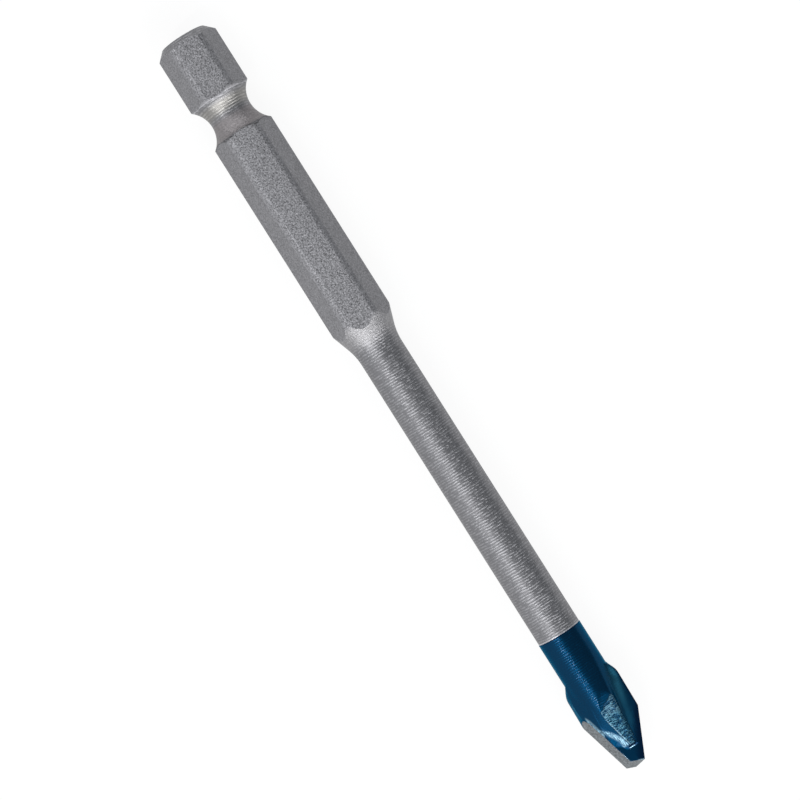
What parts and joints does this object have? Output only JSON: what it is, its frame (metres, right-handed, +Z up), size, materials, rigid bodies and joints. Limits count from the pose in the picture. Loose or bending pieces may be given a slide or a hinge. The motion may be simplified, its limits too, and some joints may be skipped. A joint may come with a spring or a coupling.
{
  "type": "glass and tile drill bit",
  "caption": "Straight drill bit for glass and tile: hex drive shank with a detent groove, round stem, and a lacquered end that holds a brazed, ground carbide plate with an offset point.",
  "frame": {"origin": "middle of the bit's box, on the surface that it lies on", "axes": "+X along the bit's axis from the drive end to the point, +Z up through a flat of the hex"},
  "size_m": [0.09, 0.007, 0.0063],
  "materials": {
    "steel": "blasted hex, turned stem, petrol blue lacquer on the working end",
    "carbide": "ground grey flanks, petrol blue lacquer on the faces",
    "braze": "filler metal under petrol blue lacquer"
  },
  "bodies": {
    "root": {"shank": "steel", "carbide_tip": "carbide", "braze": "braze"}
  },
  "joints": []
}
